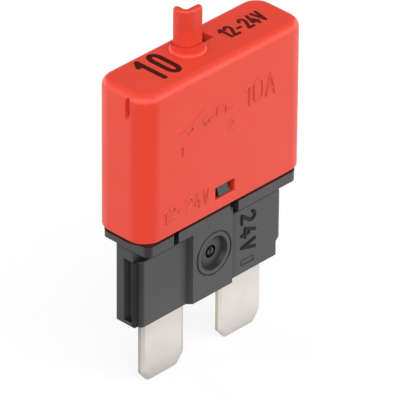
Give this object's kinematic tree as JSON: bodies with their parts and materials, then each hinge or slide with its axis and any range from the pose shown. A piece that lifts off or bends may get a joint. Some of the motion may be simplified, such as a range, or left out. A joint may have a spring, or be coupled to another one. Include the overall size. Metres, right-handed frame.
{
  "type": "automotive circuit breaker",
  "caption": "Plug-in automotive circuit breaker: rounded cap with a reset button, moulded base and flat blade terminals in the blade-fuse pattern.",
  "frame": {"origin": "middle of the seat, where the underside of the base meets the fuse holder, on the centre plane of the blades", "axes": "+X across the blades from the line blade to the load blade, +Y through the thickness from the front face with the mould dial to the plain back face, +Z from the blades towards the reset button"},
  "size_m": [0.0198, 0.0062, 0.0346],
  "materials": {
    "base_plastic": "satin",
    "cover_plastic": "satin",
    "blade_metal": "satin",
    "contact_metal": "satin",
    "strip_metal": "brushed",
    "rivet_metal": "satin",
    "spring_metal": "satin",
    "button_plastic": "satin"
  },
  "bodies": {
    "housing": {"base": "base_plastic", "cover": "cover_plastic", "line_blade": "blade_metal", "load_blade": "blade_metal", "fixed_contact": "contact_metal", "bimetal_rivet": "rivet_metal", "reset_spring": "spring_metal"},
    "slider": {"reset_slider": "button_plastic"},
    "contact_arm": {"bimetal_strip": "strip_metal", "moving_contact": "contact_metal"}
  },
  "joints": [
    {"name": "reset_button", "type": "slide", "parent": "housing", "child": "slider", "axis": [0, 0, 1], "range_m": [0, 0.0024], "deforming": ["reset_spring"]},
    {"name": "contact_opening", "type": "hinge", "parent": "housing", "child": "contact_arm", "pos_m": [-0.0053, -0.00128, 0.0166], "axis": [0, 0, -1], "range_deg": [0, 4.25]}
  ],
  "couplings": [
    {"joint": "contact_opening", "follows": "reset_button", "rad_per_m": 30.66}
  ]
}
